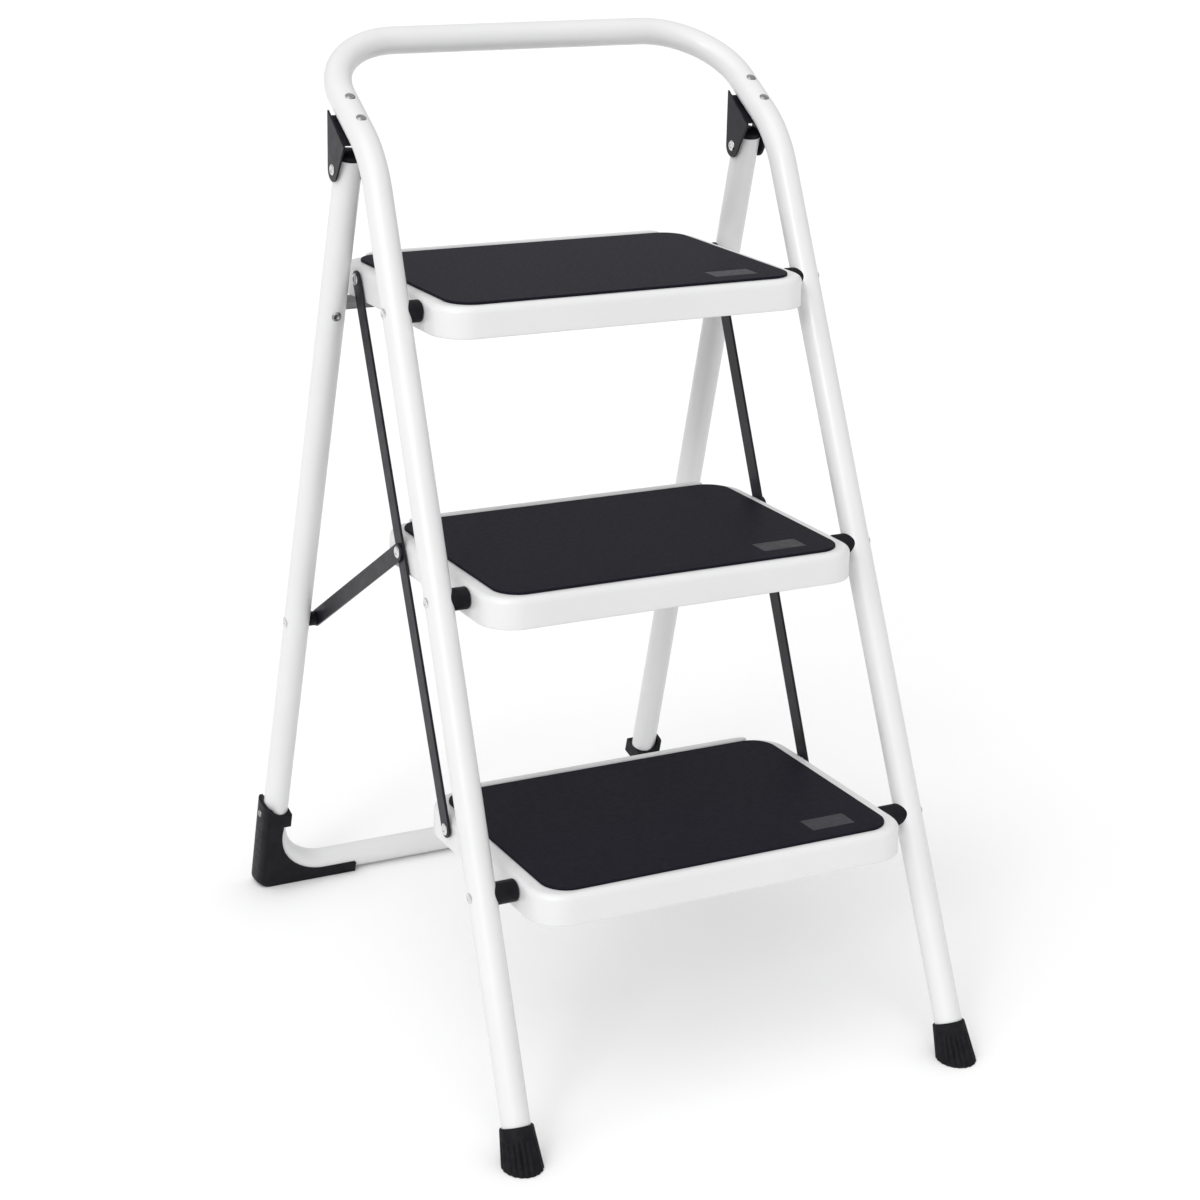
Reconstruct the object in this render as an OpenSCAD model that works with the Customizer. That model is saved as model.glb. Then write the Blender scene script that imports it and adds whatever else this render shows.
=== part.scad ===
// Folding three-step stool: a bent-tube front frame with a handrail, a U-shaped rear
// frame hinged behind it, and three pressed-steel treads that swing up as it folds.
// The stool faces -Y, +X is to the right seen from the front, and Z = 0 is the floor.
// The origin is the middle of the footprint. The stool is drawn open.

/* [Front frame] */
// Outside diameter of the frame tubes
tube_d = 25; // [24:0.5:26]
// Wall of the frame tubes
tube_wall = 1.2; // [1:0.1:1.6]
// Half of the distance between the front feet, at the floor
foot_half = 218; // [216:1:222]
// Backward lean of the front legs from the vertical, in degrees
leg_lean = 23.7; // [22:0.1:25]
// Inward lean of each front leg, in degrees
leg_splay = 1.05; // [0.9:0.05:1.1]
// Height at which the legs' line meets the handle's line
knee_z = 793.5; // [780:0.5:810]
// Backward lean of the handle from the vertical, in degrees
handle_lean = 58.7; // [55:0.1:62]
// Distance from the knee to the hand rail, along the handle
handle_len = 158.5; // [150:0.5:175]
// Bend radius of the knees
knee_r = 100; // [80:1:110]
// Bend radius of the hand rail's corners
rail_r = 77; // [60:1:85]

/* [Rear frame] */
// Distance from the knee to the foot of the hinge's perpendicular, along the handle
hinge_along = 39.6; // [36:0.1:42]
// Distance of the hinge axis below the handle tube's centre line
hinge_drop = 46.8; // [45:0.1:50]
// Half of the distance between the rear legs, at the hinge
hinge_half = 203.5; // [202.5:0.5:204.5]
// Forward lean of the rear legs from the vertical, in degrees
rear_lean = 15.5; // [14:0.1:17]
// Inward lean of each rear leg, in degrees
rear_splay = 0.77; // [0.6:0.01:0.9]
// Height of the floor bar's centre line
floor_bar_z = 14.5; // [14:0.1:16]
// Bend radius of the rear frame's lower corners
rear_r = 60; // [50:1:65]
// Distance from the hinge axis to the cross bar's centre, down the rear leg
cross_bar_down = 140.8; // [140.6:0.2:148]

/* [Treads] */
// Height of the first tread's deck
first_deck_z = 218; // [210:1:225]
// Height from one tread to the next
rise = 230; // [226:1:232]
// Width of a tread
tray_w = 368; // [360:1:368]
// Depth of a tread
tray_d = 248; // [236:1:248]
// Height of a tread's skirt
tray_h = 28; // [26:0.5:29]
// Corner radius of a tread, seen from above
tray_corner = 32; // [28:1:36]
// Radius of the edge between the deck and the skirt
tray_edge = 6; // [5:0.5:7]
// Thickness of the sheet steel
gauge = 1.2; // [1:0.1:1.5]
// Distance of the front pivot behind the tread's front edge
pivot_inset = 52.4; // [50:0.1:54]
// Distance of both pivots below the deck
pivot_drop = 11; // [10.5:0.1:12]
// Width of a mat
mat_w = 340; // [320:1:342]
// Depth of a mat
mat_d = 231; // [210:1:231]
// Thickness of a mat
mat_t = 2.5; // [2:0.1:3]
// Corner radius of a mat
mat_corner = 24; // [18:1:26]

/* [Links] */
// Distance from the front pivot to the rear pivot of a tread
arm_y = 136.7; // [130:0.1:140]
// Height of the rear pivot above the front pivot
arm_z = 2; // [0:0.1:3]
// Width of the long link bars
bar_w = 16; // [14:0.5:16]
// Thickness of the long link bars
bar_t = 2.5; // [2:0.1:2.6]
// Width of the short links
stay_w = 16; // [14:0.5:16]
// Thickness of the short links
stay_t = 2.5; // [2:0.1:2.6]
// Height of the short links' pivots on the rear legs
stay_z = 312; // [305:1:320]

/* [Fasteners] */
// Diameter of the pivot rivets
rivet_d = 6; // [5:0.5:6]
// Diameter of a large rivet head
head_d = 11; // [10:0.5:12]
// Height of a rivet head
head_h = 1.3; // [1:0.1:1.3]
// Radial clearance of a pivot
run = 0.05; // [0.02:0.01:0.09]

/* [Feet and spacers] */
// Radius of a foot cap at the floor
cap_sole_r = 18; // [17:0.5:19]
// Radius of a foot cap at its top
cap_top_r = 14.6; // [14.2:0.1:15]
// Height of a foot cap
cap_h = 31; // [28:1:34]
// Thickness of a foot cap under the tube
cap_sole_t = 6; // [5:0.5:8]
// Diameter of a spacer sleeve
sleeve_d = 20; // [18:0.5:21]
// Wall of a rear corner boot outside the tube
boot_wall = 2.6; // [2.2:0.1:3]

/* [Hidden] */
$fn = 64;
tube_r = tube_d / 2;
bore_r = tube_r - tube_wall;
pin_r = rivet_d / 2;

// Places are worked out from the front foot, then moved so that the origin is the
// middle of the footprint.
knee_back = knee_z * tan(leg_lean);
handle_dir = [0, sin(handle_lean), cos(handle_lean)];
handle_down = [0, cos(handle_lean), -sin(handle_lean)];
hinge_back = knee_back + hinge_along * handle_dir.y + hinge_drop * handle_down.y;
hinge_z = knee_z + hinge_along * handle_dir.z + hinge_drop * handle_down.z;
bar_back = hinge_back + (hinge_z - floor_bar_z) * tan(rear_lean);
boot_half = tube_r + boot_wall;
boot_back = floor_bar_z * tan(rear_lean) + boot_half / cos(rear_lean);
cap_flare = (cap_sole_r - cap_top_r) * cos(leg_lean) / cap_h;
cap_front = cap_sole_r / (cos(leg_lean) - cap_flare * sin(leg_lean));
foot_y = -(bar_back + boot_back - cap_front) / 2;

hinge_y = foot_y + hinge_back;
floor_bar_y = foot_y + bar_back;
knee = [foot_half - knee_z * tan(leg_splay), foot_y + knee_back, knee_z];
rail = knee + handle_len * handle_dir;
rear_leg_dir = [tan(rear_splay), tan(rear_lean), -1] / norm([tan(rear_splay), tan(rear_lean), -1]);

// The three treads: name order is bottom, middle, top
STEPS = [0, 1, 2];
function deck_z(i) = first_deck_z + i * rise;
function pivot_z(i) = deck_z(i) - pivot_drop;
function front_leg(z) = [foot_half - z * tan(leg_splay), foot_y + z * tan(leg_lean), z];
function rear_leg(z) = [
    hinge_half + (hinge_z - z) * tan(rear_splay),
    hinge_y + (hinge_z - z) * tan(rear_lean),
    z
];
function pivot(i) = [0, front_leg(pivot_z(i)).y, pivot_z(i)];
function arm_end(i) = pivot(i) + [0, arm_y, arm_z];
function tray_front(i) = pivot(i).y - pivot_inset;
stay_foot = [0, rear_leg(stay_z).y, stay_z];

// Layers on each side of the treads, measured from the middle plane outwards
side_gap = 0.3;
washer_t = 1;
tray_x = tray_w / 2;
bar_x = tray_x + washer_t + side_gap;
stay_x = bar_x + bar_t + side_gap;
head_gap = 0.3;

WHITE = [0.93, 0.93, 0.92];
BLACK = [0.07, 0.07, 0.08];
MAT_BLACK = [0.12, 0.12, 0.14];
PLATE_GREY = [0.25, 0.25, 0.27];
STEEL = [0.72, 0.72, 0.73];
ZINC = [0.55, 0.56, 0.57];

// ---- Shared shapes ----

function unit(v) = v / norm(v);
function turn_angle(u, v) = acos(u * v);

// A solid round rod from a to b
module rod(a, b, r) {
    d = b - a;
    translate(a)
        rotate([0, acos(d.z / norm(d)), atan2(d.y, d.x)])
            cylinder(h = norm(d), r = r);
}

// The bend of radius bend_r at the corner p, between the directions u and v. A bent tube is
// drawn in a little at a bend, so it is thinner than the rods and reaches into their ends.
draw_in = 0.16;
reach = 0.6;
module elbow(p, u, v, bend_r, r) {
    a = turn_angle(u, v);
    extra = reach / bend_r * 180 / PI;
    c = p + unit(v - u) * bend_r / cos(a / 2);
    x = unit(p - u * bend_r * tan(a / 2) - c);
    z = cross(x, u);
    multmatrix([
        [x.x, u.x, z.x, c.x],
        [x.y, u.y, z.y, c.y],
        [x.z, u.z, z.z, c.z],
        [0, 0, 0, 1]
    ])
        rotate([0, 0, -extra])
            rotate_extrude(angle = a + 2 * extra)
                translate([bend_r, 0])
                    circle(r = r - draw_in);
}

// A rod along the corners p, with one bend radius for each inner corner
module bent_rod(p, bends, r) {
    last = len(p) - 1;
    dirs = [for (i = [0:last - 1]) unit(p[i + 1] - p[i])];
    cuts = [for (i = [0:last]) i == 0 || i == last ? 0
        : bends[i - 1] * tan(turn_angle(dirs[i - 1], dirs[i]) / 2)];
    for (i = [0:last - 1])
        rod(p[i] + dirs[i] * cuts[i], p[i + 1] - dirs[i] * cuts[i + 1], r);
    for (i = [1:last - 1])
        elbow(p[i], dirs[i - 1], dirs[i], bends[i - 1], r);
}

// The same rod as a tube, open at both ends
module bent_tube(p, bends) {
    last = len(p) - 1;
    over = 2;
    first_end = p[0] + unit(p[0] - p[1]) * over;
    last_end = p[last] + unit(p[last] - p[last - 1]) * over;
    inner = [for (i = [0:last]) i == 0 ? first_end : i == last ? last_end : p[i]];
    difference() {
        bent_rod(p, bends, tube_r);
        bent_rod(inner, bends, bore_r);
    }
}

// A rod along X through y, z
module x_rod(x0, x1, y, z, r) {
    translate([min(x0, x1), y, z])
        rotate([0, 90, 0])
            cylinder(h = abs(x1 - x0), r = r);
}

// A domed head that stands on z = 0
module dome(r, h) {
    ball = (r * r + h * h) / (2 * h);
    intersection() {
        translate([0, 0, h - ball])
            sphere(r = ball, $fn = 96);
        translate([-2 * r, -2 * r, 0])
            cube([4 * r, 4 * r, 2 * h]);
    }
}

// A rivet along X between the faces x0 and x1, with a domed head on each face
module x_rivet(x0, x1, y, z, r, head_r, h) {
    x_rod(x0 - 0.2, x1 + 0.2, y, z, r);
    translate([x1, y, z])
        rotate([0, 90, 0])
            dome(head_r, h);
    translate([x0, y, z])
        rotate([0, -90, 0])
            dome(head_r, h);
}

// Draws its children as they are, and mirrored to the left
module both_sides() {
    children();
    mirror([1, 0, 0])
        children();
}

module left() {
    mirror([1, 0, 0])
        children();
}

// A plate with rounded corners, lying on z = 0
module rounded_plate(w, d, h, r) {
    linear_extrude(height = h)
        rounded_rect(w, d, r);
}

module rounded_rect(w, d, r) {
    union() {
        square([w - 2 * r, d], center = true);
        square([w, d - 2 * r], center = true);
        for (x = [-1, 1], y = [-1, 1])
            translate([x * (w / 2 - r), y * (d / 2 - r)])
                circle(r = r);
    }
}

// A block with its top at z = 0, vertical corners of radius r and a top edge of radius e
module domed_block(w, d, h, r, e) {
    translate([0, 0, -h])
        rounded_plate(w, d, h - e, r);
    translate([0, 0, -e])
        rounded_plate(w - 2 * e, d - 2 * e, e, r - e);
    for (x = [-1, 1], y = [-1, 1])
        translate([x * (w / 2 - r), y * (d / 2 - r), -e])
            intersection() {
                rotate_extrude()
                    translate([r - e, 0])
                        circle(r = e);
                cylinder(h = e, r = r);
            }
    for (s = [-1, 1]) {
        translate([0, s * (d / 2 - e), -e])
            quarter_bar(w - 2 * r, e);
        translate([s * (w / 2 - e), 0, -e])
            rotate([0, 0, 90])
                quarter_bar(d - 2 * r, e);
    }
}

// The upper half of a round bar along X
module quarter_bar(l, r) {
    intersection() {
        x_rod(-l / 2, l / 2, 0, 0, r);
        translate([-l / 2, -r, 0])
            cube([l, 2 * r, r]);
    }
}

// ---- Front frame ----

// Lowest point of the tube in a foot cap, along the leg
leg_dir = unit([-tan(leg_splay), tan(leg_lean), 1]);
leg_foot = [foot_half, foot_y, 0] + leg_dir * (cap_sole_t / leg_dir.z + tube_r * tan(leg_lean));

// One bent tube: both front legs and the hand rail
module front_tube() {
    path = [
        leg_foot, knee, rail,
        [-rail.x, rail.y, rail.z], [-knee.x, knee.y, knee.z], [-leg_foot.x, leg_foot.y, leg_foot.z]
    ];
    color(WHITE)
        difference() {
            bent_tube(path, [knee_r, rail_r, rail_r, knee_r]);
            both_sides() {
                for (i = STEPS)
                    x_rod(foot_half - 60, foot_half + 20, pivot(i).y, pivot(i).z, pin_r);
                bracket_rivet_holes();
            }
        }
}

// Distances from the knee along the handle: the bracket's two rivets, its web and its ears
rivet_along = [37.8, 67.3];
web_t = 2;
web_start = 32;
web_end = 73;
ear_start = 28;
ear_end = 75.5;
ear_end_drop = 8.5;
small_r = 2.4;
small_head_r = 4.6;
head_sink = 0.4;

// Frame of the handle's straight stretch: local X stays X, local Y runs up the handle,
// local Z points up and forwards, away from the bracket
module on_handle(along) {
    translate(knee + along * handle_dir)
        rotate([90 - handle_lean, 0, 0])
            children();
}

module bracket_rivet_holes() {
    for (s = rivet_along)
        on_handle(s)
            translate([0, 0, -tube_r - 5])
                cylinder(h = tube_d + 10, r = small_r);
}

module bracket_rivets() {
    color(STEEL)
        both_sides()
            for (s = rivet_along)
                on_handle(s) {
                    translate([0, 0, -tube_r - web_t - 0.2])
                        cylinder(h = tube_d + web_t + 0.2, r = small_r);
                    translate([0, 0, tube_r - head_sink])
                        dome(small_head_r, head_h + head_sink);
                    translate([0, 0, -tube_r - web_t])
                        rotate([180, 0, 0])
                            dome(small_head_r, head_h);
                }
}

// An ear in the handle's own frame: X along the handle, Y up from it. It narrows from the
// web down to a round eye about the hinge axis. Straight edges meet round ends a hair
// inside them, so that they cross.
ear_r = 11;
ear_gap = tube_r + 0.5;
hair = 0.03;

// Where a line from q touches the circle of radius r about c, on one side or the other
function touch(c, r, q, side) = c + r * [
    cos(atan2(q.y - c.y, q.x - c.x) + side * acos(r / norm(q - c))),
    sin(atan2(q.y - c.y, q.x - c.x) + side * acos(r / norm(q - c)))
];

module ear_profile() {
    eye = [hinge_along, -hinge_drop];
    front = [ear_start, -tube_r];
    back = [ear_end, -ear_end_drop];
    difference() {
        union() {
            translate(eye)
                circle(r = ear_r);
            polygon([
                front, back, touch(eye, ear_r - hair, back, -1), eye,
                touch(eye, ear_r - hair, front, 1)
            ]);
        }
        translate(eye)
            circle(r = pin_r);
    }
}

// A folded channel: a web riveted under the handle tube and an ear on each side of the leg
module hinge_bracket() {
    web_half = ear_gap + web_t / 2;
    color(BLACK)
        translate([hinge_half, knee.y, knee.z])
            rotate([90 - handle_lean, 0, 0])
                difference() {
                    union() {
                        for (side = [-1, 1])
                            translate([side * web_half - web_t / 2, 0, 0])
                                rotate([90, 0, 90])
                                    linear_extrude(height = web_t)
                                        ear_profile();
                        translate([-web_half, web_start, -tube_r - web_t])
                            cube([2 * web_half, web_end - web_start, web_t]);
                    }
                    for (s = rivet_along)
                        translate([knee.x - hinge_half, s, -tube_d])
                            cylinder(h = tube_d, r = small_r);
                }
}

module left_hinge_bracket() { left() hinge_bracket(); }
module right_hinge_bracket() { hinge_bracket(); }

// The pin that the rear leg turns on, headed outside both ears
module hinge_pin() {
    out = ear_gap + web_t;
    color(STEEL)
        x_rivet(hinge_half - out, hinge_half + out, hinge_y, hinge_z, pin_r, 5, 1.2);
}

module left_hinge_pin() { left() hinge_pin(); }
module right_hinge_pin() { hinge_pin(); }

// A flared rubber cap with upright grooves and a level sole
groove_count = 20;
module foot_cap() {
    run_up = cap_h / leg_dir.z;
    below = 20;
    tilt = [0, acos(leg_dir.z), atan2(leg_dir.y, leg_dir.x)];
    foot = [foot_half, foot_y, 0];
    color(BLACK)
        difference() {
            translate(foot)
                rotate(tilt)
                    translate([0, 0, -below])
                        cylinder(h = run_up + below, r1 = cap_sole_r + cap_flare * below, r2 = cap_top_r);
            rod(leg_foot, leg_foot + leg_dir * 80, tube_r);
            translate([foot_half - 60, foot_y - 60, -60])
                cube([120, 120, 60]);
            translate(foot)
                rotate(tilt)
                    for (k = [0:groove_count - 1])
                        rotate([0, 0, k * 360 / groove_count])
                            translate([cap_sole_r + 1.2, 0, -2])
                                rotate([0, -atan(cap_flare), 0])
                                    cylinder(h = run_up * 0.72, r = 2, $fn = 16);
        }
}

module left_foot_cap() { left() foot_cap(); }
module right_foot_cap() { foot_cap(); }

// ---- Rear frame ----

hinge_pt = [hinge_half, hinge_y, hinge_z];
plug_up = 10.5;
leg_top = hinge_pt - rear_leg_dir * plug_up;
rear_corner = rear_leg(floor_bar_z);

// One bent tube: both rear legs and the floor bar
module rear_tube() {
    path = [
        leg_top, rear_corner,
        [-rear_corner.x, rear_corner.y, rear_corner.z], [-leg_top.x, leg_top.y, leg_top.z]
    ];
    color(WHITE)
        difference() {
            bent_tube(path, [rear_r, rear_r]);
            both_sides() {
                x_rod(hinge_half - 30, hinge_half + 30, hinge_y, hinge_z, pin_r + run);
                x_rod(hinge_half - 30, hinge_half + 30, stay_foot.y, stay_foot.z, pin_r);
                cross_bar_holes();
                boot_screw_hole();
            }
        }
}

// A moulded plug in the open top of a rear leg
plug_rim = 3;
plug_dome = 5;
module leg_plug() {
    up = -rear_leg_dir;
    color(BLACK)
        difference() {
            translate(leg_top)
                rotate([0, acos(up.z), atan2(up.y, up.x)]) {
                    translate([0, 0, -20])
                        cylinder(h = 21, r = bore_r);
                    cylinder(h = plug_rim, r = tube_r);
                    translate([0, 0, plug_rim])
                        dome(tube_r, plug_dome);
                }
            x_rod(hinge_half - 30, hinge_half + 30, hinge_y, hinge_z, pin_r + 1);
        }
}

module left_leg_plug() { left() leg_plug(); }
module right_leg_plug() { leg_plug(); }

// Frame of the rear legs' plane at the cross bar: local Y points backwards, out of the plane
cross_bar_t = 3;
cross_bar_h = 14;
cross_at = rear_leg(hinge_z - cross_bar_down * cos(rear_lean));
module at_cross_bar() {
    translate([0, cross_at.y, cross_at.z])
        rotate([rear_lean, 0, 0])
            children();
}

module cross_bar_holes() {
    at_cross_bar()
        translate([cross_at.x, -30, 0])
            rotate([-90, 0, 0])
                cylinder(h = 60, r = small_r);
}

// How far the bar runs past the middle of each leg
cross_bar_past = 6.5;

// A flat bar behind the rear legs, just under the top tread
module cross_bar() {
    half = cross_at.x + cross_bar_past;
    color(ZINC)
        difference() {
            at_cross_bar()
                translate([0, tube_r + cross_bar_t, 0])
                    rotate([90, 0, 0])
                        linear_extrude(height = cross_bar_t)
                            rounded_rect(2 * half, cross_bar_h, 5);
            both_sides()
                cross_bar_holes();
        }
}

module cross_bar_rivets() {
    back = tube_r + cross_bar_t;
    color(STEEL)
        both_sides()
            at_cross_bar()
                translate([cross_at.x, 0, 0]) {
                    translate([0, -tube_r, 0])
                        rotate([-90, 0, 0])
                            cylinder(h = tube_r + back + 0.2, r = small_r);
                    translate([0, head_sink - tube_r, 0])
                        rotate([90, 0, 0])
                            dome(small_head_r, head_h + head_sink);
                    translate([0, back, 0])
                        rotate([-90, 0, 0])
                            dome(small_head_r, head_h);
                }
}

// Frame of a rear corner: local X is along the floor bar towards the middle plane, local Y
// is up the leg, the origin is the centre of the tube's bend, local Z is forwards
boot_up = 34;
boot_in = 34;
module at_boot() {
    translate([rear_corner.x, rear_corner.y, rear_corner.z])
        rotate([rear_lean, 0, 0])
            rotate([90, 0, 0])
                translate([-rear_r, rear_r, 0])
                    children();
}

// Outline of a boot, seen from the front on the right-hand side of the stool
module boot_profile() {
    out = rear_r + boot_half;
    low = rear_r + floor_bar_z + 8;
    arc_c = [2.6, -7.6];
    arc_r = 51.5;
    difference() {
        union() {
            translate([-boot_in, -low])
                square([out + boot_in, low - rear_r + 1]);
            translate([rear_r - 25, -low])
                square([out - rear_r + 25, low + boot_up]);
        }
        translate(arc_c)
            circle(r = arc_r);
        translate([-200, -rear_r + 1])
            square([200 + rear_r - 25, 300]);
        translate([rear_r - 26, 2])
            square([12, 100]);
        translate([rear_r - 26, -8])
            square([19.5, 12]);
        translate([rear_r - 17, boot_up + 6])
            circle(r = 27);
    }
}

// A moulded cover over the outside of a rear corner, with a level sole
module corner_boot() {
    color(BLACK)
        difference() {
            at_boot()
                translate([0, 0, -boot_half])
                    linear_extrude(height = 2 * boot_half)
                        boot_profile();
            corner_rod();
            translate([0, floor_bar_y - 80, -60])
                cube([400, 200, 60]);
            boot_screw_hole();
        }
}

// The solid rod that a boot is moulded around
module corner_rod() {
    bent_rod([
        rear_corner - rear_leg_dir * 200, rear_corner, rear_corner - [200, 0, 0]
    ], [rear_r], tube_r);
}

module left_corner_boot() { left() corner_boot(); }
module right_corner_boot() { corner_boot(); }

screw_up = 16;
screw_r = 1.8;
module boot_screw_hole() {
    at_boot()
        translate([rear_r - 2, screw_up, 0])
            rotate([0, 90, 0])
                cylinder(h = 30, r = screw_r);
}

// One screw through the outer side of each boot
module boot_screws() {
    color(STEEL)
        both_sides()
            at_boot()
                translate([rear_r, screw_up, 0])
                    rotate([0, 90, 0]) {
                        translate([0, 0, 6])
                            cylinder(h = boot_half - 6, r = screw_r);
                        translate([0, 0, boot_half])
                            dome(3.6, 1.6);
                    }
}

// ---- Treads ----

lip_r = 3;
lip_up = 1;
module at_tray(i) {
    translate([0, tray_front(i) + tray_d / 2, deck_z(i)])
        children();
}

// A pressed pan, open underneath, with a rolled lip along the back of its deck
module tread(i) {
    lip_half = tray_w / 2 - tray_corner;
    color(WHITE)
        difference() {
            union() {
                at_tray(i) {
                    difference() {
                        domed_block(tray_w, tray_d, tray_h, tray_corner, tray_edge);
                        translate([0, 0, -gauge])
                            domed_block(tray_w - 2 * gauge, tray_d - 2 * gauge, tray_h,
                                tray_corner - gauge, tray_edge - gauge);
                    }
                    translate([0, tray_d / 2 - lip_r, lip_up])
                        lip(lip_half);
                }
            }
            both_sides() {
                x_rod(tray_x - 10, tray_x + 10, pivot(i).y, pivot(i).z, pin_r + run);
                x_rod(tray_x - 10, tray_x + 10, arm_end(i).y, arm_end(i).z, pin_r);
            }
        }
}

// A round bead along X with ball ends, sunk into the deck
module lip(half) {
    intersection() {
        union() {
            x_rod(-half, half, 0, 0, lip_r);
            for (s = [-1, 1])
                translate([s * half, 0, 0])
                    sphere(r = lip_r);
        }
        translate([-half - lip_r, -lip_r, -lip_up - gauge / 2])
            cube([2 * (half + lip_r), 2 * lip_r, 2 * lip_r + gauge]);
    }
}

module bottom_tread() { tread(0); }
module middle_tread() { tread(1); }
module top_tread() { tread(2); }

plate_w = 44;
plate_d = 23;
plate_x = 118;
plate_back = 18;
plate_t = 0.8;
module plate_outline() {
    translate([plate_x, -mat_d / 2 + plate_back + plate_d / 2])
        rounded_rect(plate_w, plate_d, 1.5);
}

// A rubber mat with a chamfered edge and a shallow pocket for its plate
module mat(i) {
    chamfer = 0.8;
    steps = 3;
    color(MAT_BLACK)
        at_tray(i)
            difference() {
                union() {
                    rounded_plate(mat_w, mat_d, mat_t - chamfer, mat_corner);
                    for (k = [1:steps]) {
                        a = 90 * k / steps;
                        inset = chamfer * (1 - cos(a));
                        rounded_plate(mat_w - 2 * inset, mat_d - 2 * inset,
                            mat_t - chamfer + chamfer * sin(a), mat_corner - inset);
                    }
                }
                translate([0, 0, mat_t - plate_t])
                    linear_extrude(height = plate_t + 1)
                        plate_outline();
            }
}

module bottom_mat() { mat(0); }
module middle_mat() { mat(1); }
module top_mat() { mat(2); }

// A blank plate let into the mat
module mat_plate(i) {
    color(PLATE_GREY)
        at_tray(i)
            translate([0, 0, mat_t - plate_t])
                linear_extrude(height = plate_t - 0.1)
                    plate_outline();
}

module bottom_mat_plate() { mat_plate(0); }
module middle_mat_plate() { mat_plate(1); }
module top_mat_plate() { mat_plate(2); }

// ---- Pivots of the treads ----

// A rivet on each side, through the leg, the sleeve and the tread's side wall
module pivot_rivets(i) {
    outside = front_leg(pivot_z(i)).x + tube_r - 0.3;
    color(STEEL)
        both_sides()
            x_rivet(tray_x - gauge - head_gap, outside, pivot(i).y, pivot(i).z,
                pin_r, 4.9, head_h);
}

module bottom_pivot_rivets() { pivot_rivets(0); }
module middle_pivot_rivets() { pivot_rivets(1); }
module top_pivot_rivets() { pivot_rivets(2); }

// A plastic sleeve between a leg and a tread, shaped to the leg at its outer end
module sleeve(i) {
    leg_x = front_leg(pivot_z(i)).x;
    color(BLACK)
        difference() {
            x_rod(tray_x + side_gap, leg_x, pivot(i).y, pivot(i).z, sleeve_d / 2);
            rod([foot_half, foot_y, 0], knee, tube_r);
            x_rod(tray_x - 10, leg_x + 20, pivot(i).y, pivot(i).z, pin_r);
        }
}

module left_bottom_sleeve() { left() sleeve(0); }
module left_middle_sleeve() { left() sleeve(1); }
module left_top_sleeve() { left() sleeve(2); }
module right_bottom_sleeve() { sleeve(0); }
module right_middle_sleeve() { sleeve(1); }
module right_top_sleeve() { sleeve(2); }

// ---- Links ----

// The arm rivets hold the link bars to the treads. The middle ones end flush with the
// bars, to leave room for the short links.
module arm_rivets(i) {
    y = arm_end(i).y;
    z = arm_end(i).z;
    outer = bar_x + bar_t;
    flush = i == 1;
    color(STEEL)
        both_sides() {
            x_rod(tray_x - gauge - 0.2, flush ? outer : outer + head_gap + 0.2, y, z, pin_r);
            translate([tray_x - gauge, y, z])
                rotate([0, -90, 0])
                    dome(head_d / 2, head_h);
            if (!flush)
                translate([outer + head_gap, y, z])
                    rotate([0, 90, 0])
                        dome(head_d / 2, head_h);
        }
}

module bottom_arm_rivets() { arm_rivets(0); }
module middle_arm_rivets() { arm_rivets(1); }
module top_arm_rivets() { arm_rivets(2); }

module arm_washers(i) {
    color(STEEL)
        both_sides()
            difference() {
                x_rod(tray_x, tray_x + washer_t, arm_end(i).y, arm_end(i).z, 6.5);
                x_rod(tray_x - 1, tray_x + 3, arm_end(i).y, arm_end(i).z, pin_r);
            }
}

module bottom_arm_washers() { arm_washers(0); }
module middle_arm_washers() { arm_washers(1); }
module top_arm_washers() { arm_washers(2); }

// The outline of a link of length l with round ends
module link_outline(l, w) {
    circle(r = w / 2);
    translate([l, 0])
        circle(r = w / 2);
    translate([0, hair - w / 2])
        square([l, w - 2 * hair]);
}

// Lays an outline drawn along X in the plane x, running from a towards b
module in_side_plane(x, t, a, b) {
    d = b - a;
    translate([x, a.y, a.z])
        rotate([atan2(d.z, d.y), 0, 0])
            rotate([90, 0, 90])
                linear_extrude(height = t)
                    children();
}

// The long bar that makes the three treads swing together
module link_bar() {
    l = norm(arm_end(2) - arm_end(0));
    color(BLACK)
        in_side_plane(bar_x, bar_t, arm_end(0), arm_end(2))
            difference() {
                link_outline(l, bar_w);
                for (i = STEPS)
                    translate([i * l / 2, 0])
                        circle(r = pin_r + run);
            }
}

module left_link_bar() { left() link_bar(); }
module right_link_bar() { link_bar(); }

// The short link from a rear leg to the middle of the long bar
module stay() {
    l = norm(arm_end(1) - stay_foot);
    color(BLACK)
        in_side_plane(stay_x, stay_t, stay_foot, arm_end(1))
            difference() {
                link_outline(l, stay_w);
                circle(r = pin_r + run);
                translate([l, 0])
                    circle(r = pin_r);
            }
}

module left_stay() { left() stay(); }
module right_stay() { stay(); }

// The rivet at the top of a short link
module stay_rivet() {
    color(STEEL) {
        x_rod(stay_x + 0.05, stay_x + stay_t + 0.2, arm_end(1).y, arm_end(1).z, pin_r);
        translate([stay_x + stay_t, arm_end(1).y, arm_end(1).z])
            rotate([0, 90, 0])
                dome(head_d / 2, head_h);
    }
}

module left_stay_rivet() { left() stay_rivet(); }
module right_stay_rivet() { stay_rivet(); }

// The rivet at the foot of a short link, through the rear leg
module stay_pivot() {
    outside = rear_leg(stay_z).x + tube_r - 0.3;
    color(STEEL)
        x_rivet(stay_x - head_gap, outside, stay_foot.y, stay_foot.z, pin_r, 4.9, head_h);
}

module left_stay_pivot() { left() stay_pivot(); }
module right_stay_pivot() { stay_pivot(); }

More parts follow.
